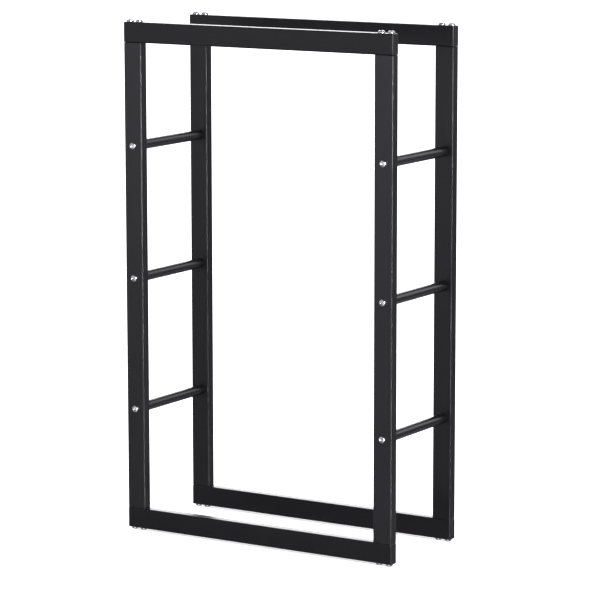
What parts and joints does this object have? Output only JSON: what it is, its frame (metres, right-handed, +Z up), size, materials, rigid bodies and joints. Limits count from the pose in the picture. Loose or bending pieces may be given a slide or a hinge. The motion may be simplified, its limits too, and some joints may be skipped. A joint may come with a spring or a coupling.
{
  "type": "firewood log rack",
  "caption": "Free-standing indoor firewood rack: two upright flat-tube frames screwed together and held apart by round crossbars, for logs stacked between its sides.",
  "frame": {"origin": "on the floor under the middle of the rack, level with the undersides of the lower screw heads it stands on", "axes": "+X along the rails towards the right-hand end, +Y from the front frame to the rear frame, +Z up"},
  "size_m": [0.6, 0.2592, 1.0092],
  "materials": {
    "powder_coat": "satin black powder coat",
    "zinc_plate": "bright zinc plating",
    "black_plastic": "moulded black plastic, satin",
    "bare_steel": "plain mill finish"
  },
  "bodies": {
    "root": {"front_bottom_rail": "powder_coat", "front_bottom_left_end_cap": "black_plastic", "front_bottom_left_nut_plate": "bare_steel", "front_bottom_left_outer_screw": "zinc_plate", "front_bottom_left_inner_screw": "zinc_plate", "front_bottom_right_end_cap": "black_plastic", "front_bottom_right_nut_plate": "bare_steel", "front_bottom_right_outer_screw": "zinc_plate", "front_bottom_right_inner_screw": "zinc_plate", "front_top_rail": "powder_coat", "front_top_left_end_cap": "black_plastic", "front_top_left_nut_plate": "bare_steel", "front_top_left_outer_screw": "zinc_plate", "front_top_left_inner_screw": "zinc_plate", "front_top_right_end_cap": "black_plastic", "front_top_right_nut_plate": "bare_steel", "front_top_right_outer_screw": "zinc_plate", "front_top_right_inner_screw": "zinc_plate", "front_left_upright": "powder_coat", "front_left_lower_crossbar_screw": "zinc_plate", "front_left_middle_crossbar_screw": "zinc_plate", "front_left_upper_crossbar_screw": "zinc_plate", "front_right_upright": "powder_coat", "front_right_lower_crossbar_screw": "zinc_plate", "front_right_middle_crossbar_screw": "zinc_plate", "front_right_upper_crossbar_screw": "zinc_plate", "rear_bottom_rail": "powder_coat", "rear_bottom_left_end_cap": "black_plastic", "rear_bottom_left_nut_plate": "bare_steel", "rear_bottom_left_outer_screw": "zinc_plate", "rear_bottom_left_inner_screw": "zinc_plate", "rear_bottom_right_end_cap": "black_plastic", "rear_bottom_right_nut_plate": "bare_steel", "rear_bottom_right_outer_screw": "zinc_plate", "rear_bottom_right_inner_screw": "zinc_plate", "rear_top_rail": "powder_coat", "rear_top_left_end_cap": "black_plastic", "rear_top_left_nut_plate": "bare_steel", "rear_top_left_outer_screw": "zinc_plate", "rear_top_left_inner_screw": "zinc_plate", "rear_top_right_end_cap": "black_plastic", "rear_top_right_nut_plate": "bare_steel", "rear_top_right_outer_screw": "zinc_plate", "rear_top_right_inner_screw": "zinc_plate", "rear_left_upright": "powder_coat", "rear_left_lower_crossbar_screw": "zinc_plate", "rear_left_middle_crossbar_screw": "zinc_plate", "rear_left_upper_crossbar_screw": "zinc_plate", "rear_right_upright": "powder_coat", "rear_right_lower_crossbar_screw": "zinc_plate", "rear_right_middle_crossbar_screw": "zinc_plate", "rear_right_upper_crossbar_screw": "zinc_plate", "left_lower_crossbar": "powder_coat", "left_middle_crossbar": "powder_coat", "left_upper_crossbar": "powder_coat", "right_lower_crossbar": "powder_coat", "right_middle_crossbar": "powder_coat", "right_upper_crossbar": "powder_coat"}
  },
  "joints": []
}
